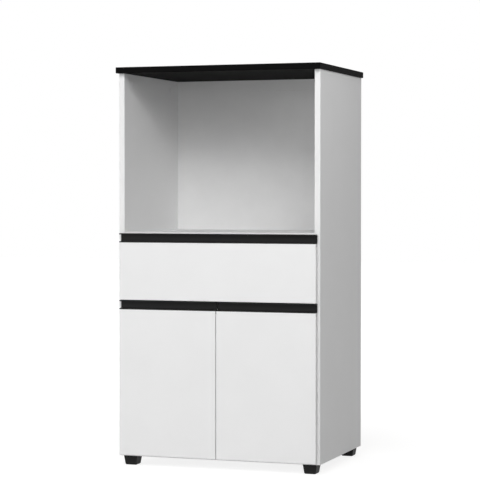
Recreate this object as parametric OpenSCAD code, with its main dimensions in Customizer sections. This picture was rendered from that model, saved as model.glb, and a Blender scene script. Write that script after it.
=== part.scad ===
// Microwave stand: an open bay over one drawer and a two-door cupboard.
// +X is right, +Y is towards the wall, +Z is up; the origin is under the middle of the stand.

/* [Cabinet] */
// Width over the two side panels
cabinet_w = 550; // [480:5:700]
// Thickness of the side panels
side_t = 15; // [15:0.5:18]
// Depth of the side panels
side_d = 384; // [380:2:480]
// Height of the side panels
side_h = 1002; // [900:2:1200]
// Thickness of the top panel
top_t = 15.5; // [15:0.5:25]
// Overhang of the top panel past each side
top_side_overhang = 4; // [0:0.5:20]
// Overhang of the top panel past the side panels at the front
top_front_overhang = 14.5; // [0:0.5:17]
// Overhang of the top panel past the side panels at the rear
top_rear_overhang = 5.5; // [3:0.5:20]
// Thickness of the niche floor
niche_floor_t = 15; // [15:0.5:20]
// Thickness of the base panel
base_t = 15; // [15:0.5:20]
// Thickness of the two rails under the drawer
rail_t = 15; // [15:0.5:18]
// Depth of each rail, front to rear
rail_w = 70; // [70:1:100]
// How far the rails' upper face lies above the doors' upper edge
rail_rise = 3.8; // [0:0.2:6]
// Thickness of the hardboard back panels
back_t = 3; // [3:0.5:3.5]
// How far the back panels stay inside the side panels' outer faces
back_inset = 2; // [0:0.5:4]
// Gap between the two back panels
back_split = 1; // [0.5:0.5:2]

/* [Fronts] */
// Thickness of the doors and of the drawer front
front_t = 15; // [15:0.5:18]
// Gap between the fronts and the side panels, filled by the bumpers
bumper_gap = 2; // [2:0.1:2.4]
// How far the fronts stay inside the side panels' outer faces
front_inset = 6.5; // [5.5:0.1:7]
// Gap between the two doors
door_gap = 2; // [1.5:0.5:4]
// Height of the doors
door_h = 381.8; // [340:0.2:460]
// How far the doors end above the side panels' lower edge
door_lift = 3.9; // [0:0.1:5]
// Height of the drawer front
drawer_front_h = 149.8; // [146:0.2:200]
// Gap between the door handles and the drawer front
front_gap = 1.2; // [1:0.1:4]
// Strip of the niche floor that shows above the drawer handle
handle_drop = 3.7; // [2:0.1:8]

/* [Handle profile] */
// Height of the channel handle
handle_h = 23.8; // [20:0.2:30]
// Thickness of its two flanges
handle_flange_t = 3; // [2:0.1:4]
// Thickness of its web
handle_web_t = 2; // [1.5:0.1:3]
// Outer radius of its lower rear corner
handle_corner_r = 5; // [3:0.5:6]
// Depth of the tongue that holds it in the front's upper edge
tongue_h = 8; // [5:0.5:10]
// Thickness of that tongue
tongue_t = 2; // [1.5:0.1:2.5]
// Distance from the front face to the tongue
tongue_setback = 5; // [4:0.5:6]

/* [Shelf] */
// Thickness of the cupboard shelf
shelf_t = 15; // [12:0.5:18]
// Height of the shelf's upper face over the base panel
shelf_rise = 185; // [150:1:210]
// Gap from the side panels' front edges to the shelf
shelf_setback = 24; // [20:1:40]
// Gap between the shelf and the sides and back
shelf_play = 1; // [0.5:0.5:2]
// Distance of the shelf supports from the shelf's front and rear edges
support_inset = 45; // [40:1:70]

/* [Feet] */
// Height of the feet
foot_h = 25; // [22:1:40]
// Width of a foot at its upper face
foot_top_w = 37.5; // [34:0.5:42]
// Width of a foot at the floor
foot_bottom_w = 31; // [28:0.5:33]
// Bevel around the foot's lower edge
foot_bevel = 2; // [1:0.5:3]
// Distance from the side panels' outer faces to the feet
foot_side_inset = 10; // [8:0.5:12]
// Distance from the side panels' front edges to the front feet
foot_front_inset = 4; // [2:0.5:8]
// Distance from the side panels' rear edges to the rear feet
foot_rear_inset = 2; // [2:0.5:8]

/* [Drawer box] */
// Thickness of the drawer sides, inner front and back
drawer_board_t = 12; // [12:0.5:15]
// Height of the drawer sides
drawer_side_h = 110; // [80:1:118]
// Gap between the drawer box and the back panels
drawer_rear_gap = 36; // [33:1:60]
// Height of the box's lower edge over the drawer front's lower edge
drawer_box_lift = 15; // [10:0.5:18]
// Space for the runner on each side of the box
runner_space = 12.5; // [12.5:0.1:14]
// Thickness of the hardboard bottom
drawer_bottom_t = 3; // [3:0.5:4]
// Height of the bottom over the box's lower edge
drawer_bottom_lift = 8; // [6:0.5:12]
// Depth of the grooves that hold the bottom
bottom_groove = 6; // [4:0.5:7]

/* [Runners] */
// Gap between the cabinet members and the back panels
cabinet_runner_gap = 31; // [25:1:32]
// Gap between the drawer members and the drawer box's rear face
drawer_runner_gap = 3; // [2:0.5:10]
// Thickness of the runners' steel
runner_steel = 1.2; // [1:0.1:1.5]
// Height of the cabinet members
runner_h = 30; // [29:0.5:34]
// Radius of the rollers
roller_r = 9; // [8:0.5:9.5]
// Width of the rollers
roller_w = 5; // [4:0.5:5]
// Radius of the rollers' rivets
roller_rivet_r = 2.5; // [2:0.1:3]

/* [Hinges] */
// Distance from a door's ends to its hinge centres
hinge_end_gap = 80; // [70:1:110]
// Distance from the door's edge to the cup's bore
cup_edge = 3; // [3:0.1:3.5]
// Radius of the hinge cup
cup_r = 17.5; // [17.3:0.1:17.7]
// Depth of the hinge cup
cup_depth = 12; // [12:0.1:12.5]
// Wall of the hinge cup
cup_wall = 1.2; // [1:0.1:1.3]
// Floor of the hinge cup
cup_floor = 0.7; // [0.5:0.1:0.8]
// Thickness of the cup's flange
cup_flange_t = 0.8; // [0.6:0.1:0.9]
// Distance between the cup's two screws
cup_screw_spacing = 45; // [45:0.5:48]
// Distance from the cup's centre to the line of its screws
cup_screw_offset = 9.5; // [8:0.5:10]
// Width of the mounting plate's wings, top to bottom
plate_h = 46; // [44:1:50]
// Distance of the mounting plate's screws from the side panels' front edges
plate_setback = 37; // [37:1:40]
// Distance between the mounting plate's two screws
plate_screw_spacing = 32; // [30:1:34]
// Length of the hinge arm behind the side panels' front edges
arm_len = 62; // [60:1:70]

/* [Fittings] */
// Radius of the cam locks
cam_r = 7.5; // [7:0.1:7.5]
// Distance from a joint to the cam lock's centre
cam_reach = 24; // [24:1:34]
// Distance of the cam locks from the boards' front and rear edges
cam_inset = 60; // [56:1:80]
// Distance from a board's cam lock to its dowel
dowel_step = 32; // [30:1:40]
// Distance of a rail's cam lock from its outer long edge
rail_cam_inset = 20; // [16:1:24]
// Radius of the dowels
dowel_r = 4; // [3:0.1:4]
// Length of the dowels
dowel_len = 30; // [28:1:34]
// Radius of the back panels' nail shanks
nail_r = 0.8; // [0.6:0.1:1]
// Length of the nails under their heads
nail_len = 17; // [14:1:20]

/* [Hidden] */
$fn = 48;

// Clearances
sliver = 0.01;          // overlap of a cut past the face that it opens
seat_gap = 0.3;         // gap of parts that move past each other
pin_play = 0.05;        // radial play of a turning pin in its hole
fit_play = 0.1;         // play of a board or tongue in its groove

// Places from left to right: the left half is drawn and mirrored
outer_x = -cabinet_w / 2;
inner_x = outer_x + side_t;
front_edge_x = outer_x + front_inset;

// Places from front to rear, about the middle of the whole depth
total_d = front_t + bumper_gap + side_d + top_rear_overhang;
front_y = -total_d / 2;
front_back_y = front_y + front_t;
side_y = front_back_y + bumper_gap;
side_rear_y = side_y + side_d;

// Places from the floor upwards
body_z = foot_h;
door_z = body_z + door_lift;
door_top_z = door_z + door_h;
drawer_front_z = door_top_z + handle_h + front_gap;
drawer_front_top_z = drawer_front_z + drawer_front_h;
niche_floor_top_z = drawer_front_top_z + handle_h + handle_drop;
niche_floor_mid_z = niche_floor_top_z - niche_floor_t / 2;
side_top_z = body_z + side_h;
base_top_z = body_z + base_t;
rail_top_z = door_top_z + rail_rise;
rail_mid_z = rail_top_z - rail_t / 2;
rear_rail_y = side_rear_y - rail_w;

// Cam joints: a bolt and a dowel at each end of a board
cam_skin = 3;           // board left over a cam lock's bore
bolt_thread_r = 2.5;
bolt_thread_len = 11;
bolt_shank_r = 3.4;
bolt_tip_gap = 2.5;     // how far the bolt ends short of the cam lock's centre
bolt_bore_r = 4;
cam_mouth_r = 3.9;
cam_slot_w = 1.6;
cam_slot_depth = 1.2;
cam_slot_margin = 1.5;
cap_r = 8.5;
cap_t = 0.6;
dowel_in_side = 10;
dowel_room = 1;         // hole left past a dowel's end
BOARDS = [              // middle height, thickness, bolt place and dowel place of each joint
  [niche_floor_mid_z, niche_floor_t, side_y + cam_inset, side_y + cam_inset + dowel_step],
  [niche_floor_mid_z, niche_floor_t, side_rear_y - cam_inset, side_rear_y - cam_inset - dowel_step],
  [body_z + base_t / 2, base_t, side_y + cam_inset, side_y + cam_inset + dowel_step],
  [body_z + base_t / 2, base_t, side_rear_y - cam_inset, side_rear_y - cam_inset - dowel_step],
  [rail_mid_z, rail_t, side_y + rail_cam_inset, side_y + rail_cam_inset + dowel_step],
  [rail_mid_z, rail_t, side_rear_y - rail_cam_inset, side_rear_y - rail_cam_inset - dowel_step]
];
NICHE_FLOOR_JOINTS = [BOARDS[0], BOARDS[1]];
BASE_JOINTS = [BOARDS[2], BOARDS[3]];
FRONT_RAIL_JOINTS = [BOARDS[4]];
REAR_RAIL_JOINTS = [BOARDS[5]];
TOP_BOLTS_Y = [side_y + cam_inset, side_rear_y - cam_inset];
TOP_DOWELS_Y = [side_y + cam_inset + dowel_step, side_rear_y - cam_inset - dowel_step];

// Back panels and their nails
back_y = side_rear_y;
nail_head_r = 2.2;
nail_head_t = 0.8;
nail_edge = 4;          // from a nail to the split between the back panels
nail_end_gap = 30;      // from the first and last nail of a row to the panel's end
SIDE_ROW = [0, 0.25, 0.5, 0.75, 1];
niche_back_z = niche_floor_mid_z + back_split / 2;
lower_back_z = niche_floor_mid_z - back_split / 2;

// Shelf and its supports
shelf_top_z = base_top_z + shelf_rise;
shelf_y = side_y + shelf_setback;
shelf_rear_y = side_rear_y - shelf_play;
support_pin_r = 2.5;
support_pin_depth = 9;
support_reach = 9;
support_w = 10;
support_t = 2.5;
support_collar_r = 4;
support_collar_t = 0.8;
SUPPORTS_Y = [shelf_y + support_inset, shelf_rear_y - support_inset];

// Feet
foot_x = outer_x + foot_side_inset + foot_top_w / 2;
front_foot_y = side_y + foot_front_inset + foot_top_w / 2;
rear_foot_y = side_rear_y - foot_rear_inset - foot_top_w / 2;
foot_web = 6;           // plastic left over the screw's recess
foot_recess_r = 5.5;
foot_screw_r = 2;
foot_screw_bite = 12;
foot_screw_head_r = 4.5;
foot_screw_head_t = 2;

// Drawer box
box_x = inner_x + runner_space;
box_inner_x = box_x + drawer_board_t;
box_z = drawer_front_z + drawer_box_lift;
box_top_z = box_z + drawer_side_h;
box_rear_y = side_rear_y - drawer_rear_gap;
bottom_z = box_z + drawer_bottom_lift;
box_screw_r = 1.9;
box_screw_head_r = 3.6;
box_screw_head_t = 1.6;
box_screw_bite = 22;
box_screw_end_gap = 22; // from the box's upper and lower edges to its screws
BOX_SCREWS_Z = [box_z + box_screw_end_gap, box_top_z - box_screw_end_gap];
BOX_SCREWS_Y = [front_back_y + drawer_board_t / 2, box_rear_y - drawer_board_t / 2];
front_screw_bite = 10;
front_screw_inset = 70; // from the box's sides to the drawer front's screws

// Runners, with x from the side panel's inner face and z from the cabinet member's lower face
runner_setback = 3;
runner_drop = 3;        // from the drawer members' lower face to the cabinet members' lower face
runner_y = side_y + runner_setback;
runner_rear_y = side_rear_y - cabinet_runner_gap;
runner_z = box_z - runner_steel - runner_drop;
cabinet_flange_w = 9.5;
cabinet_lip_h = 4;
cabinet_top_flange_w = 6.5;
roller_x = 2.6;
roller_z = runner_z + runner_steel + seat_gap + roller_r;
roller_end_gap = 12;    // from a runner's end to its roller's centre
drawer_runner_lead = 1;
drawer_runner_y = front_back_y + drawer_runner_lead;
drawer_runner_rear_y = box_rear_y - drawer_runner_gap;
drawer_flange_z = roller_z + roller_r + seat_gap;
cabinet_roller_y = runner_y + roller_end_gap;
drawer_roller_y = drawer_runner_rear_y - roller_end_gap;
rivet_head_r = 4;
rivet_head_t = 0.8;
rivet_collar_r = 4;
runner_screw_r = 1.75;
runner_screw_head_r = 3.1;
runner_screw_head_t = 1;
cabinet_screw_bite = 11;
drawer_screw_bite = 9;
runner_screw_end_gap = 40;
cabinet_screw_drop = 5; // from the cabinet member's upper edge to its screws
CABINET_RUNNER_SCREWS_Y = [for (f = [0, 0.5, 1])
  runner_y + runner_screw_end_gap + f * (runner_rear_y - runner_y - 2 * runner_screw_end_gap)];
DRAWER_RUNNER_SCREWS_Y = [for (f = [0, 0.5, 1])
  drawer_runner_y + runner_screw_end_gap
    + f * (drawer_runner_rear_y - drawer_runner_y - 2 * runner_screw_end_gap)];

// Hinges: the link turns on one pin in the arm and one in the cup
HINGES_Z = [door_z + hinge_end_gap, door_top_z - hinge_end_gap];
cup_x = front_edge_x + cup_edge + cup_r;
arm_pin_offset = 3;     // from the cup's centre to the arm's pin, away from the side panel
arm_pin_depth = 7.2;    // from the door's rear face to the arm's pin
cup_pin_offset = 11.05; // from the cup's centre to the cup's pin, towards the side panel
cup_pin_depth = 1.2;    // from the door's rear face to the cup's pin
arm_pin_x = cup_x + arm_pin_offset;
arm_pin_y = front_back_y - arm_pin_depth;
cup_pin_x = cup_x - cup_pin_offset;
cup_pin_y = front_back_y - cup_pin_depth;
hinge_pin_r = 1.25;
cup_pin_half = 12.2;
link_half = 3;          // half of the link's height
link_eye_r = 2.3;
link_bar_half = 1.5;
link_length = norm([arm_pin_x - cup_pin_x, arm_pin_y - cup_pin_y]);
link_angle = atan2(cup_pin_y - arm_pin_y, cup_pin_x - arm_pin_x);
cheek_gap = 0.2;
cheek_t = 2;
cheek_half = link_half + cheek_gap + cheek_t;
arm_web_t = 1.2;
arm_nose_r = 3.2;
arm_neck_setback = 8;   // from the side panels' front edges to the arm's wide part
arm_web_lead = 5.5;     // how far the arm's web reaches past the side panels' front edges
arm_neck_y = side_y + arm_neck_setback;
arm_web_y = side_y - arm_web_lead;
arm_outer_x = arm_pin_x + arm_nose_r;
plate_t = 2;
plate_wing_half = 7;
plate_rib_setback = 24;
plate_rib_len = 34;
plate_rib_y = side_y + plate_rib_setback;
plate_rib_rear_y = plate_rib_y + plate_rib_len;
plate_screw_r = 1.9;
plate_screw_head_r = 3.8;
plate_screw_head_t = 1.6;
plate_screw_bite = 11;
arm_screw_setback = 50;
arm_screw_y = side_y + arm_screw_setback;
arm_screw_r = 2.1;
arm_screw_head_r = 4;
arm_screw_head_t = 1.8;
arm_screw_bite = 8;
cup_ear_half = 5.5;
cup_flange_rim = 1;
cup_screw_r = 1.9;
cup_screw_head_r = 3.8;
cup_screw_head_t = 0.6;
cup_screw_bite = 11;

// Bumpers
bumper_r = 3.5;
bumper_t = bumper_gap - seat_gap;
bumper_edge = 12;       // from the drawer front's upper and lower edges
door_bumper_inset = 20; // from the door's free edge

WHITE = [0.93, 0.93, 0.92];
BLACK = [0.10, 0.10, 0.10];
HARDBOARD = [0.80, 0.79, 0.77];
STEEL = [0.72, 0.72, 0.74];
ZINC = [0.62, 0.62, 0.63];
NYLON = [0.90, 0.90, 0.88];
BEECH = [0.80, 0.65, 0.45];

// Plain shapes between two limits along each axis
module block(x0, x1, y0, y1, z0, z1) {
  translate([x0, y0, z0]) cube([x1 - x0, y1 - y0, z1 - z0]);
}
module rod_x(x0, x1, y, z, r) {
  translate([x0, y, z]) rotate([0, 90, 0]) cylinder(r = r, h = x1 - x0);
}
module rod_y(x, y0, y1, z, r) {
  translate([x, y1, z]) rotate([90, 0, 0]) cylinder(r = r, h = y1 - y0);
}
module rod_z(x, y, z0, z1, r) {
  translate([x, y, z0]) cylinder(r = r, h = z1 - z0);
}
module both_sides() {
  children();
  mirror([1, 0, 0]) children();
}

// Cam locks, bolts and dowels of a board between the sides, at its left end
module board_joint_cuts(joints) {
  for (j = joints) {
    rod_x(inner_x - sliver, inner_x + cam_reach, j[2], j[0], bolt_bore_r);
    rod_z(inner_x + cam_reach, j[2], j[0] - j[1] / 2 - sliver, j[0] + j[1] / 2 - cam_skin, cam_r);
    rod_x(inner_x - sliver, inner_x + dowel_len - dowel_in_side + dowel_room, j[3], j[0], dowel_r);
  }
}
module side_joint_cuts() {
  for (j = BOARDS) {
    rod_x(inner_x - bolt_thread_len, inner_x + sliver, j[2], j[0], bolt_thread_r);
    rod_x(inner_x - dowel_in_side, inner_x + sliver, j[3], j[0], dowel_r);
  }
}
module side_top_cuts() {
  for (y = TOP_BOLTS_Y) {
    rod_z(outer_x + side_t / 2, y, side_top_z - cam_reach, side_top_z + sliver, bolt_bore_r);
    rod_x(outer_x + cam_skin, inner_x + sliver, y, side_top_z - cam_reach, cam_r);
  }
  for (y = TOP_DOWELS_Y)
    rod_z(outer_x + side_t / 2, y, side_top_z - dowel_len + dowel_in_side - dowel_room,
      side_top_z + sliver, dowel_r);
}
module top_panel_cuts() {
  for (y = TOP_BOLTS_Y)
    rod_z(outer_x + side_t / 2, y, side_top_z - sliver, side_top_z + bolt_thread_len, bolt_thread_r);
  for (y = TOP_DOWELS_Y)
    rod_z(outer_x + side_t / 2, y, side_top_z - sliver, side_top_z + dowel_in_side, dowel_r);
}
module cam_lock(h) {
  difference() {
    cylinder(r = cam_r, h = h);
    rod_x(-cam_r - sliver, bolt_tip_gap, 0, h + cam_skin - (h + cam_skin) / 2, cam_mouth_r);
    for (a = [0, 90])
      rotate([0, 0, a + 45])
        translate([-cam_r + cam_slot_margin, -cam_slot_w / 2, -sliver])
          cube([2 * (cam_r - cam_slot_margin), cam_slot_w, cam_slot_depth + sliver]);
  }
}
module cam_bolt() {
  rod_x(-bolt_thread_len, 0, 0, 0, bolt_thread_r);
  rod_x(0, cam_reach - bolt_tip_gap, 0, 0, bolt_shank_r);
}
module left_cam_locks() {
  for (j = BOARDS)
    translate([inner_x + cam_reach, j[2], j[0] - j[1] / 2]) cam_lock(j[1] - cam_skin);
  for (y = TOP_BOLTS_Y)
    translate([inner_x, y, side_top_z - cam_reach]) rotate([0, -90, 0]) mirror([1, 0, 0])
      cam_lock(side_t - cam_skin);
}
module left_cam_bolts() {
  for (j = BOARDS) translate([inner_x, j[2], j[0]]) cam_bolt();
  for (y = TOP_BOLTS_Y) translate([outer_x + side_t / 2, y, side_top_z]) rotate([0, 90, 0]) cam_bolt();
}
module left_dowels() {
  for (j = BOARDS) rod_x(inner_x - dowel_in_side, inner_x + dowel_len - dowel_in_side, j[3], j[0], dowel_r);
  for (y = TOP_DOWELS_Y)
    rod_z(outer_x + side_t / 2, y, side_top_z - dowel_len + dowel_in_side, side_top_z + dowel_in_side,
      dowel_r);
}
module cam_locks() { color(ZINC) both_sides() left_cam_locks(); }
module cam_bolts() { color(STEEL) both_sides() left_cam_bolts(); }
module dowels() { color(BEECH) both_sides() left_dowels(); }
module cam_caps() {
  color(WHITE) both_sides()
    for (y = TOP_BOLTS_Y) rod_x(inner_x, inner_x + cap_t, y, side_top_z - cam_reach, cap_r);
}

// Nails of the back panels
function row(a, b) = [for (f = SIDE_ROW) a + f * (b - a)];
EDGE_NAILS = [for (z = concat(row(body_z + nail_end_gap, lower_back_z - nail_end_gap),
  row(niche_back_z + nail_end_gap, side_top_z - nail_end_gap))) [outer_x + side_t / 2, z]];
SPLIT_NAILS = [for (x = [inner_x / 2, 0], z = [lower_back_z - nail_edge, niche_back_z + nail_edge]) [x, z]];
BASE_NAILS = [for (x = [inner_x / 2, 0]) [x, body_z + base_t / 2]];
NAILS = concat(EDGE_NAILS, SPLIT_NAILS, BASE_NAILS);
function both_x(points) = concat(points, [for (p = points) if (p[0] < 0) [-p[0], p[1]]]);
module nail_shanks() {
  for (p = both_x(NAILS)) rod_y(p[0], back_y + back_t - nail_len, back_y + back_t + sliver, p[1], nail_r);
}
module back_panel_nails() {
  color(STEEL) for (p = both_x(NAILS)) {
    rod_y(p[0], back_y + back_t - nail_len, back_y + back_t, p[1], nail_r);
    rod_y(p[0], back_y + back_t, back_y + back_t + nail_head_t, p[1], nail_head_r);
  }
}

// Cabinet boards
module left_side_shape() {
  difference() {
    block(outer_x, inner_x, side_y, side_rear_y, body_z, side_top_z);
    side_joint_cuts();
    side_top_cuts();
    nail_shanks();
    for (y = SUPPORTS_Y)
      rod_x(inner_x - support_pin_depth, inner_x + sliver, y, shelf_top_z - shelf_t - support_t,
        support_pin_r);
    plate_screw_holes();
    for (y = CABINET_RUNNER_SCREWS_Y)
      rod_x(inner_x - cabinet_screw_bite, inner_x + sliver, y, cabinet_screw_z, runner_screw_r);
  }
}
module left_side_panel() { color(WHITE) left_side_shape(); }
module right_side_panel() { color(WHITE) mirror([1, 0, 0]) left_side_shape(); }
module top_panel() {
  color(BLACK) difference() {
    block(outer_x - top_side_overhang, -outer_x + top_side_overhang, side_y - top_front_overhang,
      side_rear_y + top_rear_overhang, side_top_z, side_top_z + top_t);
    both_sides() top_panel_cuts();
  }
}
module niche_floor() {
  color(WHITE) difference() {
    block(inner_x, -inner_x, side_y, side_rear_y, niche_floor_top_z - niche_floor_t, niche_floor_top_z);
    both_sides() board_joint_cuts(NICHE_FLOOR_JOINTS);
    nail_shanks();
  }
}
module front_rail() {
  color(WHITE) difference() {
    block(inner_x, -inner_x, side_y, side_y + rail_w, rail_top_z - rail_t, rail_top_z);
    both_sides() board_joint_cuts(FRONT_RAIL_JOINTS);
  }
}
module rear_rail() {
  color(WHITE) difference() {
    block(inner_x, -inner_x, rear_rail_y, side_rear_y, rail_top_z - rail_t, rail_top_z);
    both_sides() board_joint_cuts(REAR_RAIL_JOINTS);
  }
}
module base_panel() {
  color(WHITE) difference() {
    block(inner_x, -inner_x, side_y, side_rear_y, body_z, base_top_z);
    both_sides() board_joint_cuts(BASE_JOINTS);
    nail_shanks();
    both_sides() for (y = [front_foot_y, rear_foot_y])
      rod_z(foot_x, y, body_z - sliver, body_z + foot_screw_bite, foot_screw_r);
  }
}
module cupboard_shelf() {
  color(WHITE)
    block(inner_x + shelf_play, -inner_x - shelf_play, shelf_y, shelf_rear_y, shelf_top_z - shelf_t,
      shelf_top_z);
}
module shelf_supports() {
  color(NYLON) both_sides() for (y = SUPPORTS_Y) {
    rod_x(inner_x - support_pin_depth, inner_x, y, shelf_top_z - shelf_t - support_t, support_pin_r);
    intersection() {
      rod_x(inner_x, inner_x + support_collar_t, y, shelf_top_z - shelf_t - support_t,
        support_collar_r);
      block(inner_x, inner_x + support_reach, y - support_w, y + support_w, body_z,
        shelf_top_z - shelf_t);
    }
    block(inner_x, inner_x + support_reach, y - support_w / 2, y + support_w / 2,
      shelf_top_z - shelf_t - support_t, shelf_top_z - shelf_t);
  }
}
module niche_back_panel() {
  color(HARDBOARD) difference() {
    block(outer_x + back_inset, -outer_x - back_inset, back_y, back_y + back_t, niche_back_z, side_top_z);
    nail_shanks();
  }
}
module lower_back_panel() {
  color(HARDBOARD) difference() {
    block(outer_x + back_inset, -outer_x - back_inset, back_y, back_y + back_t, body_z, lower_back_z);
    nail_shanks();
  }
}

// Feet: square, tapered and bevelled, each held by one screw
function foot_outline() = [
  [-foot_top_w / 2, foot_h], [-foot_bottom_w / 2, foot_bevel], [-foot_bottom_w / 2 + foot_bevel, 0],
  [foot_bottom_w / 2 - foot_bevel, 0], [foot_bottom_w / 2, foot_bevel], [foot_top_w / 2, foot_h]
];
module foot() {
  color(BLACK) difference() {
    intersection() {
      rotate([90, 0, 0]) translate([0, 0, -foot_top_w / 2])
        linear_extrude(foot_top_w) polygon(foot_outline());
      rotate([90, 0, 90]) translate([0, 0, -foot_top_w / 2])
        linear_extrude(foot_top_w) polygon(foot_outline());
    }
    rod_z(0, 0, -sliver, foot_h - foot_web, foot_recess_r);
    rod_z(0, 0, 0, foot_h + sliver, foot_screw_r);
  }
}
module front_left_foot() { translate([foot_x, front_foot_y, 0]) foot(); }
module front_right_foot() { translate([-foot_x, front_foot_y, 0]) foot(); }
module rear_left_foot() { translate([foot_x, rear_foot_y, 0]) foot(); }
module rear_right_foot() { translate([-foot_x, rear_foot_y, 0]) foot(); }
module foot_screws() {
  color(STEEL) both_sides() for (y = [front_foot_y, rear_foot_y]) {
    rod_z(foot_x, y, foot_h - foot_web, body_z + foot_screw_bite, foot_screw_r);
    rod_z(foot_x, y, foot_h - foot_web - foot_screw_head_t, foot_h - foot_web, foot_screw_head_r);
  }
}

// Channel handle: open to the front, with a rounded lower rear corner and a tongue
module rounded_section(x0, x1, z0, z1, r) {
  translate([x0, z0 + r]) square([x1 - x0, z1 - z0 - r]);
  translate([x0, z0]) square([x1 - r - x0, r + sliver]);
  translate([x1 - r, z0 + r]) circle(r);
}
module handle_section() {
  difference() {
    rounded_section(0, front_t, 0, handle_h, handle_corner_r);
    rounded_section(-sliver, front_t - handle_web_t, handle_flange_t, handle_h - handle_flange_t,
      handle_corner_r - handle_web_t);
  }
}
module channel_handle(x0, x1, z) {
  color(BLACK) {
    translate([x0, front_y, z]) rotate([90, 0, 90]) linear_extrude(x1 - x0) handle_section();
    block(x0, x1, front_y + tongue_setback, front_y + tongue_setback + tongue_t, z - tongue_h, z + sliver);
  }
}
module tongue_groove(x0, x1, z) {
  block(x0 - sliver, x1 + sliver, front_y + tongue_setback - fit_play,
    front_y + tongue_setback + tongue_t + fit_play, z - tongue_h - fit_play, z + sliver);
}
module drawer_handle() { channel_handle(front_edge_x, -front_edge_x, drawer_front_top_z); }
module left_door_handle() { channel_handle(front_edge_x, -door_gap / 2, door_top_z); }
module right_door_handle() { channel_handle(door_gap / 2, -front_edge_x, door_top_z); }

// Drawer
module box_screw_cuts() {
  for (y = BOX_SCREWS_Y, z = BOX_SCREWS_Z) {
    rod_x(box_x - sliver, box_x + drawer_board_t + box_screw_bite, y, z, box_screw_r);
    rod_x(box_x - sliver, box_x + box_screw_head_t, y, z, box_screw_head_r);
  }
}
module front_screw_places() {
  for (x = [box_inner_x + front_screw_inset, -box_inner_x - front_screw_inset], z = BOX_SCREWS_Z)
    translate([x, 0, z]) children();
}
module front_screw_holes() {
  front_screw_places()
    rod_y(0, front_back_y - front_screw_bite, front_back_y + drawer_board_t + sliver, 0, box_screw_r);
}
module bottom_groove_cut() {
  block(box_inner_x - bottom_groove, -box_inner_x + bottom_groove,
    front_back_y + drawer_board_t - bottom_groove, box_rear_y + sliver, bottom_z,
    bottom_z + drawer_bottom_t + fit_play);
}
module drawer_front() {
  color(WHITE) difference() {
    block(front_edge_x, -front_edge_x, front_y, front_back_y, drawer_front_z, drawer_front_top_z);
    tongue_groove(front_edge_x, -front_edge_x, drawer_front_top_z);
    front_screw_holes();
  }
}
module drawer_side_shape() {
  difference() {
    block(box_x, box_inner_x, front_back_y, box_rear_y, box_z, box_top_z);
    bottom_groove_cut();
    box_screw_cuts();
    for (y = DRAWER_RUNNER_SCREWS_Y)
      rod_x(box_x - sliver, box_x + drawer_screw_bite, y, drawer_screw_z, runner_screw_r);
  }
}
module drawer_left_side() { color(WHITE) drawer_side_shape(); }
module drawer_right_side() { color(WHITE) mirror([1, 0, 0]) drawer_side_shape(); }
module drawer_inner_front() {
  color(WHITE) difference() {
    block(box_inner_x, -box_inner_x, front_back_y, front_back_y + drawer_board_t, box_z, box_top_z);
    bottom_groove_cut();
    both_sides() box_screw_cuts();
    front_screw_holes();
  }
}
module drawer_back() {
  color(WHITE) difference() {
    block(box_inner_x, -box_inner_x, box_rear_y - drawer_board_t, box_rear_y,
      bottom_z + drawer_bottom_t + fit_play, box_top_z);
    both_sides() box_screw_cuts();
  }
}
module drawer_bottom() {
  color(HARDBOARD)
    block(box_inner_x - bottom_groove + fit_play, -box_inner_x + bottom_groove - fit_play,
      front_back_y + drawer_board_t - bottom_groove + fit_play, box_rear_y, bottom_z,
      bottom_z + drawer_bottom_t);
}
module drawer_box_screws() {
  color(STEEL) both_sides() for (y = BOX_SCREWS_Y, z = BOX_SCREWS_Z) {
    rod_x(box_x + box_screw_head_t, box_x + drawer_board_t + box_screw_bite, y, z, box_screw_r);
    rod_x(box_x, box_x + box_screw_head_t, y, z, box_screw_head_r);
  }
}
module drawer_front_screws() {
  color(STEEL) front_screw_places() {
    rod_y(0, front_back_y - front_screw_bite, front_back_y + drawer_board_t, 0, box_screw_r);
    rod_y(0, front_back_y + drawer_board_t, front_back_y + drawer_board_t + box_screw_head_t, 0,
      box_screw_head_r);
  }
}

// Runners: folded steel channels with a roller riveted to each
cabinet_screw_z = runner_z + runner_h - cabinet_screw_drop;
drawer_screw_z = (box_z + bottom_z) / 2;
module cabinet_runner_shape() {
  difference() {
    union() {
      block(inner_x, inner_x + runner_steel, runner_y, runner_rear_y, runner_z, runner_z + runner_h);
      block(inner_x, inner_x + cabinet_flange_w, runner_y, runner_rear_y, runner_z, runner_z + runner_steel);
      block(inner_x + cabinet_flange_w - runner_steel, inner_x + cabinet_flange_w, runner_y, runner_rear_y,
        runner_z, runner_z + cabinet_lip_h);
      block(inner_x, inner_x + cabinet_top_flange_w, runner_y, runner_rear_y,
        runner_z + runner_h - runner_steel, runner_z + runner_h);
    }
    for (y = CABINET_RUNNER_SCREWS_Y)
      rod_x(inner_x - sliver, inner_x + runner_steel + sliver, y, cabinet_screw_z, runner_screw_r);
  }
  rod_x(inner_x + runner_steel, inner_x + roller_x - seat_gap, cabinet_roller_y, roller_z, rivet_collar_r);
  rod_x(inner_x + roller_x - seat_gap, inner_x + roller_x + roller_w + seat_gap, cabinet_roller_y,
    roller_z, roller_rivet_r);
  rod_x(inner_x + roller_x + roller_w + seat_gap,
    inner_x + roller_x + roller_w + seat_gap + rivet_head_t, cabinet_roller_y, roller_z, rivet_head_r);
}
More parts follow.
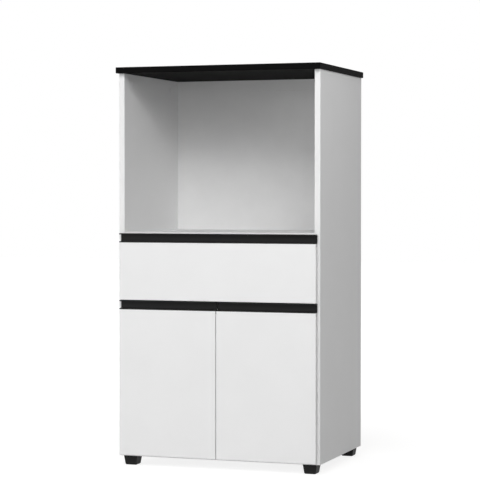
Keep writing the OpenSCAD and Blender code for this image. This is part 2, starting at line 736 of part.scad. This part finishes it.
module drawer_runner_shape() {
  web_x = box_x - runner_steel;
  difference() {
    union() {
      block(web_x, box_x, drawer_runner_y, drawer_runner_rear_y, box_z - runner_steel,
        drawer_flange_z + runner_steel);
      block(web_x, box_inner_x, drawer_runner_y, drawer_runner_rear_y, box_z - runner_steel, box_z);
      block(inner_x + roller_x, box_x, drawer_runner_y, drawer_runner_rear_y, drawer_flange_z,
        drawer_flange_z + runner_steel);
    }
    for (y = DRAWER_RUNNER_SCREWS_Y)
      rod_x(web_x - sliver, box_x + sliver, y, drawer_screw_z, runner_screw_r);
  }
  rod_x(inner_x + roller_x + roller_w + seat_gap, web_x, drawer_roller_y, roller_z, rivet_collar_r);
  rod_x(inner_x + roller_x - seat_gap, inner_x + roller_x + roller_w + seat_gap, drawer_roller_y,
    roller_z, roller_rivet_r);
  rod_x(inner_x + roller_x - seat_gap - rivet_head_t / 2, inner_x + roller_x - seat_gap,
    drawer_roller_y, roller_z, rivet_head_r);
}
module roller(y) {
  difference() {
    rod_x(inner_x + roller_x, inner_x + roller_x + roller_w, y, roller_z, roller_r);
    rod_x(inner_x + roller_x - sliver, inner_x + roller_x + roller_w + sliver, y, roller_z,
      roller_rivet_r + pin_play);
  }
}
module left_cabinet_runner() { color(STEEL) cabinet_runner_shape(); }
module right_cabinet_runner() { color(STEEL) mirror([1, 0, 0]) cabinet_runner_shape(); }
module left_drawer_runner() { color(STEEL) drawer_runner_shape(); }
module right_drawer_runner() { color(STEEL) mirror([1, 0, 0]) drawer_runner_shape(); }
module cabinet_rollers() { color(NYLON) both_sides() roller(cabinet_roller_y); }
module drawer_rollers() { color(NYLON) both_sides() roller(drawer_roller_y); }
module cabinet_runner_screws() {
  color(STEEL) both_sides() for (y = CABINET_RUNNER_SCREWS_Y) {
    rod_x(inner_x - cabinet_screw_bite, inner_x + runner_steel, y, cabinet_screw_z, runner_screw_r);
    rod_x(inner_x + runner_steel, inner_x + runner_steel + runner_screw_head_t, y, cabinet_screw_z,
      runner_screw_head_r);
  }
}
module drawer_runner_screws() {
  color(STEEL) both_sides() for (y = DRAWER_RUNNER_SCREWS_Y) {
    rod_x(box_x - runner_steel, box_x + drawer_screw_bite, y, drawer_screw_z, runner_screw_r);
    rod_x(box_x - runner_steel - runner_screw_head_t, box_x - runner_steel, y, drawer_screw_z,
      runner_screw_head_r);
  }
}

// Hinges of the left door; the right door's are mirrored
module plate_screw_places() {
  for (z = HINGES_Z, s = [-1, 1])
    translate([0, side_y + plate_setback, z + s * plate_screw_spacing / 2]) children();
}
module plate_screw_holes() {
  plate_screw_places()
    rod_x(inner_x - plate_screw_bite, inner_x + plate_t + sliver, 0, 0, plate_screw_r);
}
module left_hinge_plates() {
  difference() {
    for (z = HINGES_Z) {
      block(inner_x, inner_x + plate_t, side_y + plate_setback - plate_wing_half,
        side_y + plate_setback + plate_wing_half, z - plate_h / 2, z + plate_h / 2);
      block(inner_x, inner_x + plate_t, plate_rib_y, plate_rib_rear_y, z - link_half, z + link_half);
      block(inner_x, arm_outer_x - arm_web_t, plate_rib_y, plate_rib_rear_y, z - link_half + cheek_gap,
        z + link_half - cheek_gap);
    }
    plate_screw_holes();
    for (z = HINGES_Z)
      rod_x(arm_outer_x - arm_screw_bite, arm_outer_x + sliver, arm_screw_y, z, arm_screw_r);
  }
}
module hinge_plates() { color(STEEL) both_sides() left_hinge_plates(); }
module hinge_arm(z) {
  translate([0, 0, z]) difference() {
    union() {
      rod_z(arm_pin_x, arm_pin_y, -cheek_half, cheek_half, arm_nose_r);
      block(arm_pin_x - arm_nose_r, arm_outer_x, arm_pin_y, arm_neck_y, -cheek_half, cheek_half);
      block(inner_x + plate_t + seat_gap, arm_outer_x, arm_neck_y, side_y + arm_len, -cheek_half,
        cheek_half);
    }
    block(inner_x, arm_outer_x - arm_web_t, arm_web_y, side_y + arm_len + sliver,
      -link_half - cheek_gap, link_half + cheek_gap);
    block(inner_x, arm_outer_x + sliver, arm_pin_y - arm_nose_r - sliver, arm_web_y,
      -link_half - cheek_gap, link_half + cheek_gap);
    rod_z(arm_pin_x, arm_pin_y, -cheek_half - sliver, cheek_half + sliver, hinge_pin_r);
    rod_x(arm_outer_x - arm_web_t - sliver, arm_outer_x + sliver, arm_screw_y, 0, arm_screw_r);
  }
}
module left_hinge_arms() { color(STEEL) for (z = HINGES_Z) hinge_arm(z); }
module right_hinge_arms() { color(STEEL) mirror([1, 0, 0]) for (z = HINGES_Z) hinge_arm(z); }
module hinge_mounting_screws() {
  color(STEEL) both_sides() {
    plate_screw_places() {
      rod_x(inner_x - plate_screw_bite, inner_x + plate_t, 0, 0, plate_screw_r);
      rod_x(inner_x + plate_t, inner_x + plate_t + plate_screw_head_t, 0, 0, plate_screw_head_r);
    }
    for (z = HINGES_Z) {
      rod_x(arm_outer_x - arm_screw_bite, arm_outer_x, arm_screw_y, z, arm_screw_r);
      rod_x(arm_outer_x, arm_outer_x + arm_screw_head_t, arm_screw_y, z, arm_screw_head_r);
    }
  }
}
module hinge_arm_pins() {
  color(ZINC) both_sides() for (z = HINGES_Z)
    rod_z(arm_pin_x, arm_pin_y, z - cheek_half, z + cheek_half, hinge_pin_r);
}
module hinge_link(z) {
  translate([arm_pin_x, arm_pin_y, z]) rotate([0, 0, link_angle]) difference() {
    union() {
      rod_z(0, 0, -link_half, link_half, link_eye_r);
      rod_z(link_length, 0, -link_half, link_half, link_eye_r);
      block(0, link_length, -link_bar_half, link_bar_half, -link_half, link_half);
    }
    for (x = [0, link_length])
      rod_z(x, 0, -link_half - sliver, link_half + sliver, hinge_pin_r + pin_play);
  }
}
module left_hinge_links() { color(STEEL) for (z = HINGES_Z) hinge_link(z); }
module right_hinge_links() { color(STEEL) mirror([1, 0, 0]) for (z = HINGES_Z) hinge_link(z); }

// Cups: drawn with their axis along Z from the door's rear face downwards into the door
module cup_screw_places() {
  for (z = HINGES_Z, s = [-1, 1])
    translate([cup_x + cup_screw_offset, 0, z + s * cup_screw_spacing / 2]) children();
}
module cup_screw_holes() {
  cup_screw_places()
    rod_y(0, front_back_y - cup_screw_bite, front_back_y + cup_flange_t + sliver, 0, cup_screw_r);
}
module cup_shapes() {
  difference() {
    for (z = HINGES_Z) {
      rod_y(cup_x, front_back_y - cup_depth, front_back_y, z, cup_r);
      rod_y(cup_x, front_back_y, front_back_y + cup_flange_t, z, cup_r + cup_flange_rim);
      block(cup_x + cup_screw_offset - cup_ear_half, cup_x + cup_screw_offset + cup_ear_half,
        front_back_y, front_back_y + cup_flange_t, z - cup_screw_spacing / 2,
        z + cup_screw_spacing / 2);
      for (s = [-1, 1])
        rod_y(cup_x + cup_screw_offset, front_back_y, front_back_y + cup_flange_t,
          z + s * cup_screw_spacing / 2, cup_ear_half);
    }
    for (z = HINGES_Z) {
      rod_y(cup_x, front_back_y - cup_depth + cup_floor, front_back_y + cup_flange_t + sliver, z,
        cup_r - cup_wall);
      rod_z(cup_pin_x, cup_pin_y, z - cup_pin_half, z + cup_pin_half, hinge_pin_r);
    }
    cup_screw_holes();
  }
}
module cup_pin_shapes() {
  for (z = HINGES_Z) rod_z(cup_pin_x, cup_pin_y, z - cup_pin_half, z + cup_pin_half, hinge_pin_r);
}
module cup_screw_shapes() {
  cup_screw_places() {
    rod_y(0, front_back_y - cup_screw_bite, front_back_y + cup_flange_t, 0, cup_screw_r);
    rod_y(0, front_back_y + cup_flange_t, front_back_y + cup_flange_t + cup_screw_head_t, 0,
      cup_screw_head_r);
  }
}
module left_hinge_cups() { color(ZINC) cup_shapes(); }
module right_hinge_cups() { color(ZINC) mirror([1, 0, 0]) cup_shapes(); }
module left_cup_pins() { color(STEEL) cup_pin_shapes(); }
module right_cup_pins() { color(STEEL) mirror([1, 0, 0]) cup_pin_shapes(); }
module left_cup_screws() { color(STEEL) cup_screw_shapes(); }
module right_cup_screws() { color(STEEL) mirror([1, 0, 0]) cup_screw_shapes(); }

// Doors
module door_shape() {
  difference() {
    block(front_edge_x, -door_gap / 2, front_y, front_back_y, door_z, door_top_z);
    tongue_groove(front_edge_x, -door_gap / 2, door_top_z);
    for (z = HINGES_Z) rod_y(cup_x, front_back_y - cup_depth, front_back_y + sliver, z, cup_r);
    cup_screw_holes();
  }
}
module left_door() { color(WHITE) door_shape(); }
module right_door() { color(WHITE) mirror([1, 0, 0]) door_shape(); }
module door_bumper_shapes() {
  for (z = [body_z + base_t / 2, (rail_top_z - rail_t + door_top_z) / 2])
    rod_y(-door_gap / 2 - door_bumper_inset, front_back_y, front_back_y + bumper_t, z, bumper_r);
}
module left_door_bumpers() { color(NYLON) door_bumper_shapes(); }
module right_door_bumpers() { color(NYLON) mirror([1, 0, 0]) door_bumper_shapes(); }
module drawer_bumpers() {
  color(NYLON) both_sides() for (z = [drawer_front_z + bumper_edge, drawer_front_top_z - bumper_edge])
    rod_y((front_edge_x + inner_x) / 2, front_back_y, front_back_y + bumper_t, z, bumper_r);
}

left_side_panel();
right_side_panel();
top_panel();
niche_floor();
front_rail();
rear_rail();
base_panel();
cupboard_shelf();
niche_back_panel();
lower_back_panel();
front_left_foot();
front_right_foot();
rear_left_foot();
rear_right_foot();
foot_screws();
cam_locks();
cam_bolts();
cam_caps();
dowels();
shelf_supports();
back_panel_nails();
hinge_plates();
left_hinge_arms();
right_hinge_arms();
hinge_mounting_screws();
hinge_arm_pins();
left_hinge_links();
right_hinge_links();
left_cabinet_runner();
right_cabinet_runner();
cabinet_runner_screws();
cabinet_rollers();
drawer_front();
drawer_handle();
drawer_left_side();
drawer_right_side();
drawer_inner_front();
drawer_back();
drawer_bottom();
left_drawer_runner();
right_drawer_runner();
drawer_runner_screws();
drawer_box_screws();
drawer_front_screws();
drawer_bumpers();
drawer_rollers();
left_door();
left_door_handle();
left_hinge_cups();
left_cup_pins();
left_cup_screws();
left_door_bumpers();
right_door();
right_door_handle();
right_hinge_cups();
right_cup_pins();
right_cup_screws();
right_door_bumpers();
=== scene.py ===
"""Looks of the microwave stand with drawer, around the CAD meshes of the frame.

Every node gets a procedural material. Boards, handles and feet also get finely rounded
edges from modifiers. Camera, floor, world and lamps follow. Lengths are in metres.
"""
import math

import bpy
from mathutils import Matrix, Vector

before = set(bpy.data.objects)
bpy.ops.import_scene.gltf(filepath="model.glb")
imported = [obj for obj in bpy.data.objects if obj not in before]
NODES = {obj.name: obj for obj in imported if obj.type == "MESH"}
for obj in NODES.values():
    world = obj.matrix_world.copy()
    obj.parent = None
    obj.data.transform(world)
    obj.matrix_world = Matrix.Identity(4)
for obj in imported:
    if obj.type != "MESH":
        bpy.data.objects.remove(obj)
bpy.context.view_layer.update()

# Directions in a node's own space, for the sides of a board
X, Y, Z = (1, 0, 0), (0, 1, 0), (0, 0, 1)
MX, MY, MZ = (-1, 0, 0), (0, -1, 0), (0, 0, -1)

# ---------------------------------------------------------------- camera
CAMERA_PLACE = Vector((1.6103, -4.6022, 0.7094))
CAMERA_YAW = math.radians(19.34)
CAMERA_PITCH = math.radians(-1.413)
CAMERA_LENS = 136.995  # mm
CAMERA_SENSOR = 36.0  # mm
CAMERA_NEAR = 0.1
CAMERA_FAR = 60.0


def make_camera():
    data = bpy.data.cameras.new("camera")
    data.lens = CAMERA_LENS
    data.sensor_width = CAMERA_SENSOR
    data.clip_start = CAMERA_NEAR
    data.clip_end = CAMERA_FAR
    camera = bpy.data.objects.new("camera", data)
    bpy.context.scene.collection.objects.link(camera)
    forward = Vector((
        -math.sin(CAMERA_YAW) * math.cos(CAMERA_PITCH),
        math.cos(CAMERA_YAW) * math.cos(CAMERA_PITCH),
        math.sin(CAMERA_PITCH),
    ))
    camera.location = CAMERA_PLACE
    camera.rotation_mode = "QUATERNION"
    camera.rotation_quaternion = forward.to_track_quat("-Z", "Y")
    bpy.context.scene.camera = camera


# ---------------------------------------------------------------- materials
# Base colours of the boards: the cabinet's, the fronts' and the black top's
WHITE = 0.815
FRONT_WHITE = 0.835
TOP_BLACK = 0.0050
# Darkest and lightest patches of the hardboard's white lacquer
LACQUER = (0.73, 0.76)
# Cosine above which a face looks along a direction
FACING_LIMIT = 0.9
# Noise below the first value is the dark colour of the clouds, above the second the light one
CLOUDS_FROM, CLOUDS_TO = 0.3, 0.7
# Shares of the flakes and of the fine chips in the tone of bare chipboard
FLAKE_SHARE, FINE_SHARE = 0.7, 0.3

# Stops of the colour ramps: place and colour
CHIPBOARD = [
    (0.10, (0.16, 0.10, 0.055)),
    (0.42, (0.40, 0.28, 0.165)),
    (0.80, (0.60, 0.46, 0.30)),
]
FIBRE = [
    (0.25, (0.13, 0.075, 0.036)),
    (0.55, (0.25, 0.155, 0.082)),
    (0.85, (0.36, 0.235, 0.13)),
]
BEECH = [
    (0.25, (0.42, 0.26, 0.13)),
    (0.75, (0.62, 0.43, 0.25)),
]


def tree_of(owner):
    """The nodes and links of a material or a world."""
    tree = owner.node_tree
    return tree.nodes, tree.links


def grey(value, warmth=0.0):
    return (value * (1 + warmth), value, value * (1 - warmth))


class Maker:
    """Builds one procedural material in object space, in metres."""

    def __init__(self, name, roughness=0.5, metallic=0.0, specular=0.5):
        self.material = bpy.data.materials.new(name)
        self.material.use_nodes = True
        self.nodes, self.links = tree_of(self.material)
        self.shader = self.nodes["Principled BSDF"]
        self.shader.inputs["Roughness"].default_value = roughness
        self.shader.inputs["Metallic"].default_value = metallic
        self.shader.inputs["Specular IOR Level"].default_value = specular
        self.coords = self.nodes.new("ShaderNodeTexCoord")
        self.bump_link = None

    def mapped(self, scale=(1, 1, 1)):
        mapping = self.nodes.new("ShaderNodeMapping")
        mapping.inputs["Scale"].default_value = scale
        self.links.new(self.coords.outputs["Object"], mapping.inputs["Vector"])
        return mapping.outputs["Vector"]

    def noise(self, scale, detail, stretch=(1, 1, 1), roughness=0.55):
        node = self.nodes.new("ShaderNodeTexNoise")
        node.inputs["Scale"].default_value = scale
        node.inputs["Detail"].default_value = detail
        node.inputs["Roughness"].default_value = roughness
        self.links.new(self.mapped(stretch), node.inputs["Vector"])
        return node.outputs["Fac"]

    def flakes(self, scale, stretch):
        """One shade for each cell."""
        node = self.nodes.new("ShaderNodeTexVoronoi")
        node.inputs["Scale"].default_value = scale
        self.links.new(self.mapped(stretch), node.inputs["Vector"])
        return node.outputs["Color"]

    def bands(self, axis, scale, distortion):
        node = self.nodes.new("ShaderNodeTexWave")
        node.bands_direction = axis
        node.inputs["Scale"].default_value = scale
        node.inputs["Distortion"].default_value = distortion
        self.links.new(self.mapped(), node.inputs["Vector"])
        return node.outputs["Fac"]

    def ramp(self, factor, stops):
        node = self.nodes.new("ShaderNodeValToRGB")
        self.links.new(factor, node.inputs["Fac"])
        elements = node.color_ramp.elements
        while len(elements) < len(stops):
            elements.new(0.5)
        for element, (place, color) in zip(elements, stops):
            element.position = place
            element.color = (*color, 1.0)
        return node.outputs["Color"]

    def clouds(self, scale, detail, dark, light):
        """Soft patches between two colours."""
        return self.ramp(self.noise(scale, detail), [(CLOUDS_FROM, dark), (CLOUDS_TO, light)])

    def mix(self, factor, a, b):
        node = self.nodes.new("ShaderNodeMix")
        node.data_type = "RGBA"
        self.links.new(factor, node.inputs["Factor"])
        self.links.new(a, node.inputs["A"])
        self.links.new(b, node.inputs["B"])
        return node.outputs["Result"]

    def math(self, operation, a, b):
        node = self.nodes.new("ShaderNodeMath")
        node.operation = operation
        for socket, value in zip(node.inputs, (a, b)):
            if isinstance(value, (int, float)):
                socket.default_value = value
            else:
                self.links.new(value, socket)
        return node.outputs["Value"]

    def facing(self, *directions):
        """1 on the faces that look along one of the directions, in the object's own space."""
        total = None
        for direction in directions:
            dot = self.nodes.new("ShaderNodeVectorMath")
            dot.operation = "DOT_PRODUCT"
            self.links.new(self.coords.outputs["Normal"], dot.inputs[0])
            dot.inputs[1].default_value = direction
            hit = self.math("GREATER_THAN", dot.outputs["Value"], FACING_LIMIT)
            total = hit if total is None else self.math("MAXIMUM", total, hit)
        return total

    def color(self, socket):
        self.links.new(socket, self.shader.inputs["Base Color"])

    def rough(self, factor, at_zero, at_one):
        """Roughness that goes from at_zero to at_one as the factor goes from 0 to 1."""
        node = self.nodes.new("ShaderNodeMapRange")
        node.inputs["To Min"].default_value = at_zero
        node.inputs["To Max"].default_value = at_one
        self.links.new(factor, node.inputs["Value"])
        self.links.new(node.outputs["Result"], self.shader.inputs["Roughness"])

    def bump(self, height, strength, distance):
        """Adds one layer of relief over the layers before it."""
        node = self.nodes.new("ShaderNodeBump")
        node.inputs["Strength"].default_value = strength
        node.inputs["Distance"].default_value = distance
        self.links.new(height, node.inputs["Height"])
        if self.bump_link is not None:
            self.links.new(self.bump_link, node.inputs["Normal"])
        self.bump_link = node.outputs["Normal"]
        self.links.new(self.bump_link, self.shader.inputs["Normal"])


def chipboard_color(maker):
    flakes = maker.flakes(scale=620.0, stretch=(1.0, 0.45, 1.0))
    fine = maker.noise(scale=900.0, detail=5.0)
    flake_tone = maker.math("MULTIPLY", flakes, FLAKE_SHARE)
    fine_tone = maker.math("MULTIPLY", fine, FINE_SHARE)
    return maker.ramp(maker.math("ADD", flake_tone, fine_tone), CHIPBOARD)


def board(name, value, raw=(), spread=0.008, roughness=(0.42, 0.52), specular=0.45):
    """Melamine-faced board: fine pearl texture, and bare chips on the sides named by raw."""
    maker = Maker(name, specular=specular)
    faces = maker.clouds(9.0, 4.0, grey(value - spread), grey(value + spread))
    if raw:
        mask = maker.facing(*raw)
        faces = maker.mix(mask, faces, chipboard_color(maker))
        chips = maker.math("MULTIPLY", maker.noise(scale=700.0, detail=4.0), mask)
        maker.bump(chips, strength=0.5, distance=0.0006)
    maker.color(faces)
    maker.rough(maker.noise(scale=420.0, detail=2.0), *roughness)
    pearl = maker.noise(scale=1500.0, detail=2.0)
    maker.bump(pearl, strength=0.06, distance=0.0002)
    return maker.material


def hardboard(name, white_sides):
    """White lacquer on the sides named, pressed fibre with a screen pattern on the rest."""
    maker = Maker(name, specular=0.4)
    white = maker.clouds(14.0, 4.0, grey(LACQUER[0]), grey(LACQUER[1]))
    fibre = maker.noise(scale=260.0, detail=8.0, stretch=(1.0, 1.0, 0.35), roughness=0.7)
    mask = maker.facing(*white_sides)
    maker.color(maker.mix(mask, maker.ramp(fibre, FIBRE), white))
    maker.rough(mask, at_zero=0.85, at_one=0.45)
    bare = maker.math("SUBTRACT", 1.0, mask)
    weave = [maker.bands(axis, scale=130.0, distortion=0.6) for axis in ("X", "Z")]
    screen = maker.math("MULTIPLY", weave[0], weave[1])
    maker.bump(maker.math("MULTIPLY", screen, bare), strength=0.5, distance=0.0003)
    maker.bump(maker.math("MULTIPLY", fibre, bare), strength=0.3, distance=0.0002)
    return maker.material


def plastic(name, value, roughness, texture_scale, texture, warmth=0.0, specular=0.4):
    """Moulded plastic or powder coat, with a fine grain of the given scale and strength."""
    maker = Maker(name, specular=specular)
    maker.color(maker.clouds(60.0, 4.0, grey(value * 0.93, warmth), grey(value * 1.07, warmth)))
    maker.rough(maker.noise(scale=300.0, detail=3.0), roughness - 0.05, roughness + 0.06)
    grain = maker.noise(texture_scale, detail=2.0)
    maker.bump(grain, strength=texture, distance=0.0002)
    return maker.material


def extruded(name, value, roughness):
    """Satin black profile with the faint lines of the die along its length."""
    maker = Maker(name, specular=0.12)
    maker.color(maker.clouds(40.0, 3.0, grey(value * 0.92), grey(value * 1.08)))
    lines = maker.noise(scale=1400.0, detail=2.0, stretch=(0.004, 1.0, 1.0))
    maker.rough(lines, roughness - 0.06, roughness + 0.06)
    maker.bump(lines, strength=0.12, distance=0.0001)
    return maker.material


def metal(name, value, roughness, brushed=(1, 1, 1)):
    """Plated steel with fine scratches, drawn out where brushed is under 1."""
    maker = Maker(name, roughness, metallic=1.0)
    maker.color(maker.clouds(120.0, 4.0, grey(value * 0.92), grey(value * 1.05)))
    scratches = maker.noise(scale=1800.0, detail=3.0, stretch=brushed)
    maker.rough(scratches, roughness - 0.07, roughness + 0.09)
    maker.bump(scratches, strength=0.08, distance=0.0001)
    return maker.material


def beech(name):
    """Wood with its grain along X."""
    maker = Maker(name, roughness=0.6)
    grain = maker.noise(scale=500.0, detail=6.0, stretch=(0.06, 1.0, 1.0), roughness=0.65)
    maker.color(maker.ramp(grain, BEECH))
    maker.bump(grain, strength=0.3, distance=0.0003)
    return maker.material


MATERIALS = {
    "upright": board("white_board_upright", WHITE, (Y, Z, MZ)),
    "level": board("white_board_level", WHITE, (Y, X, MX)),
    "front": board("white_board_front", FRONT_WHITE),
    "box_side": board("white_board_box_side", WHITE, (Y, MY, MZ)),
    "box_end": board("white_board_box_end", WHITE, (X, MX, MZ)),
    "top": board("black_board", TOP_BLACK, spread=0.0006, roughness=(0.56, 0.66), specular=0.015),
    "back": hardboard("hardboard_back", (MY,)),
    "drawer_floor": hardboard("hardboard_drawer", (MY, Z)),
    "handle": extruded("black_profile", 0.012, 0.40),
    "foot": plastic("black_foot", 0.011, 0.55, 800.0, 0.35, specular=0.15),
    "white_plastic": plastic("white_nylon", 0.74, 0.4, 1200.0, 0.06, warmth=0.01),
    "cap": plastic("white_cap", 0.80, 0.45, 1200.0, 0.05),
    "coated": plastic("white_epoxy_steel", 0.74, 0.35, 600.0, 0.10, warmth=0.008, specular=0.5),
    "nickel": metal("nickel_steel", 0.62, 0.24, (1.0, 1.0, 0.2)),
    "zinc": metal("zinc_steel", 0.56, 0.36),
    "beech": beech("beech_dowel"),
}

NODES_OF = {
    "upright": ("left_side_panel", "right_side_panel"),
    "level": ("niche_floor", "front_rail", "rear_rail", "base_panel", "cupboard_shelf"),
    "front": ("drawer_front", "left_door", "right_door"),
    "box_side": ("drawer_left_side", "drawer_right_side"),
    "box_end": ("drawer_inner_front", "drawer_back"),
    "top": ("top_panel",),
    "back": ("niche_back_panel", "lower_back_panel"),
    "drawer_floor": ("drawer_bottom",),
    "handle": ("drawer_handle", "left_door_handle", "right_door_handle"),
    "foot": ("front_left_foot", "front_right_foot", "rear_left_foot", "rear_right_foot"),
    "white_plastic": ("shelf_supports", "cabinet_rollers", "drawer_rollers", "drawer_bumpers",
                      "left_door_bumpers", "right_door_bumpers"),
    "cap": ("cam_caps",),
    "coated": ("left_cabinet_runner", "right_cabinet_runner", "left_drawer_runner",
               "right_drawer_runner"),
    "nickel": ("hinge_plates", "left_hinge_arms", "right_hinge_arms", "left_hinge_links",
               "right_hinge_links", "left_hinge_cups", "right_hinge_cups"),
    "zinc": ("foot_screws", "cam_locks", "cam_bolts", "back_panel_nails", "hinge_mounting_screws",
             "hinge_arm_pins", "cabinet_runner_screws", "drawer_runner_screws",
             "drawer_box_screws", "drawer_front_screws", "left_cup_pins", "left_cup_screws",
             "right_cup_pins", "right_cup_screws"),
    "beech": ("dowels",),
}
KEY_OF = {name: key for key, names in NODES_OF.items() for name in names}

# ---------------------------------------------------------------- edges
# Width of the rounding. Nodes of the other keys keep their edges as they are.
ROUNDING = {
    "upright": 0.0005, "level": 0.0005, "front": 0.0009, "box_side": 0.0005, "box_end": 0.0005,
    "top": 0.0009, "handle": 0.0004, "foot": 0.0008,
}
WELD_DISTANCE = 0.00001  # vertices nearer than this are one
FLAT_ANGLE = math.radians(1)
ROUNDED_FROM = math.radians(40)
ROUNDING_SEGMENTS = 2
SHADING_WEIGHT = 50


def round_edges(node, width):
    """Joins the triangles of each flat face and rounds the edges that are left.

    The clamp is off, because it limits all of a node's edges by the shortest one. Loop
    slide is off, because with it some corners end 0.05 mm outside the CAD box.
    """
    flat = node.modifiers.new("flat_faces", "DECIMATE")
    flat.decimate_type = "DISSOLVE"
    flat.angle_limit = FLAT_ANGLE
    bevel = node.modifiers.new("rounding", "BEVEL")
    bevel.width = width
    bevel.segments = ROUNDING_SEGMENTS
    bevel.limit_method = "ANGLE"
    bevel.angle_limit = ROUNDED_FROM
    bevel.use_clamp_overlap = False
    bevel.loop_slide = False
    shading = node.modifiers.new("shading", "WEIGHTED_NORMAL")
    shading.weight = SHADING_WEIGHT
    shading.keep_sharp = True


def dress():
    for name, node in NODES.items():
        key = KEY_OF[name]
        if not node.material_slots:
            node.data.materials.append(None)
        for slot in node.material_slots:
            slot.material = MATERIALS[key]
        weld = node.modifiers.new("weld", "WELD")
        weld.merge_threshold = WELD_DISTANCE
        if key in ROUNDING:
            round_edges(node, ROUNDING[key])


# ---------------------------------------------------------------- surroundings
FLOOR_REACH = 14.0  # from the middle to each side
FLOOR_BOUNCE = 0.62  # grey that throws light back at the stand
FLOOR_SHADE = 0.30  # grey that shows the lamps' light and shadows to the camera
# Glow that the camera sees besides, near and far, and the distances between which it rises
GLOW_NEAR, GLOW_FAR = 0.84, 1.0
GLOW_FROM, GLOW_TO = 0.5, 1.6
AMBIENT = 0.12  # light from all round
BACKDROP = 1.0  # white that the camera sees past the floor


def seen_by_camera(nodes, links):
    """1 for what the camera sees, straight or through gloss or glass."""
    path = nodes.new("ShaderNodeLightPath")
    total = path.outputs["Is Camera Ray"]
    for name in ("Is Glossy Ray", "Is Transmission Ray"):
        add = nodes.new("ShaderNodeMath")
        add.operation = "MAXIMUM"
        links.new(total, add.inputs[0])
        links.new(path.outputs[name], add.inputs[1])
        total = add.outputs[0]
    return total


def make_floor():
    mesh = bpy.data.meshes.new("floor")
    corners = [(x * FLOOR_REACH, y * FLOOR_REACH, 0) for x, y in ((-1, -1), (1, -1), (1, 1), (-1, 1))]
    mesh.from_pydata(corners, [], [(0, 1, 2, 3)])
    floor = bpy.data.objects.new("floor", mesh)
    bpy.context.scene.collection.objects.link(floor)
    material = bpy.data.materials.new("floor")
    material.use_nodes = True
    nodes, links = tree_of(material)
    nodes.clear()
    output = nodes.new("ShaderNodeOutputMaterial")
    plain = nodes.new("ShaderNodeBsdfDiffuse")
    plain.inputs["Color"].default_value = (*grey(FLOOR_BOUNCE), 1)
    shade = nodes.new("ShaderNodeBsdfDiffuse")
    shade.inputs["Color"].default_value = (*grey(FLOOR_SHADE), 1)
    glow = nodes.new("ShaderNodeEmission")
    coords = nodes.new("ShaderNodeTexCoord")
    distance = nodes.new("ShaderNodeVectorMath")
    distance.operation = "LENGTH"
    links.new(coords.outputs["Object"], distance.inputs[0])
    whiten = nodes.new("ShaderNodeMapRange")
    whiten.inputs["From Min"].default_value = GLOW_FROM
    whiten.inputs["From Max"].default_value = GLOW_TO
    whiten.inputs["To Min"].default_value = GLOW_NEAR
    whiten.inputs["To Max"].default_value = GLOW_FAR
    links.new(distance.outputs["Value"], whiten.inputs["Value"])
    links.new(whiten.outputs["Result"], glow.inputs["Strength"])
    seen = nodes.new("ShaderNodeAddShader")
    links.new(shade.outputs[0], seen.inputs[0])
    links.new(glow.outputs[0], seen.inputs[1])
    mix = nodes.new("ShaderNodeMixShader")
    links.new(seen_by_camera(nodes, links), mix.inputs[0])
    links.new(plain.outputs[0], mix.inputs[1])
    links.new(seen.outputs[0], mix.inputs[2])
    links.new(mix.outputs[0], output.inputs["Surface"])
    mesh.materials.append(material)


def make_world():
    """Dim light all round, and white where the camera looks past the floor."""
    world = bpy.data.worlds.new("world")
    bpy.context.scene.world = world
    world.use_nodes = True
    nodes, links = tree_of(world)
    nodes.clear()
    output = nodes.new("ShaderNodeOutputWorld")
    mix = nodes.new("ShaderNodeMixShader")
    links.new(seen_by_camera(nodes, links), mix.inputs[0])
    for strength, socket in ((AMBIENT, mix.inputs[1]), (BACKDROP, mix.inputs[2])):
        white = nodes.new("ShaderNodeBackground")
        white.inputs["Color"].default_value = (1, 1, 1, 1)
        white.inputs["Strength"].default_value = strength
        links.new(white.outputs[0], socket)
    links.new(mix.outputs[0], output.inputs["Surface"])


FRONTS = (0.0, -0.1, 0.55)
LAMPS = [
    # name, place, point it is aimed at, side of its square, power in watts
    ("key", (0.3, -5.2, 4.4), FRONTS, 2.0, 116.0),
    ("right", (3.6, -5.8, 4.0), FRONTS, 3.0, 92.0),
    ("right_near", (1.3, -2.1, 1.9), FRONTS, 0.6, 10.5),
    ("left", (-4.2, -3.2, 1.3), FRONTS, 2.6, 58.0),
    ("left_low", (-2.0, -2.4, 1.0), FRONTS, 0.8, 5.4),
    ("front", (1.6, -5.6, 1.2), FRONTS, 2.0, 27.0),
    ("side", (0.8, -0.3, 1.2), (0.275, -0.15, 0.8), 0.4, 0.6),
    ("rear_left", (-4.0, 3.6, 3.2), (0.0, 0.1, 0.5), 3.0, 80.0),
]


def make_lamps():
    for name, place, target, size, power in LAMPS:
        data = bpy.data.lights.new(name, "AREA")
        data.shape = "SQUARE"
        data.size = size
        data.energy = power
        lamp = bpy.data.objects.new(name, data)
        lamp.location = place
        lamp.rotation_mode = "QUATERNION"
        lamp.rotation_quaternion = (Vector(target) - Vector(place)).to_track_quat("-Z", "Y")
        lamp.visible_camera = False
        bpy.context.scene.collection.objects.link(lamp)


make_camera()
dress()
make_floor()
make_world()
make_lamps()
bpy.context.scene.view_settings.view_transform = "Standard"
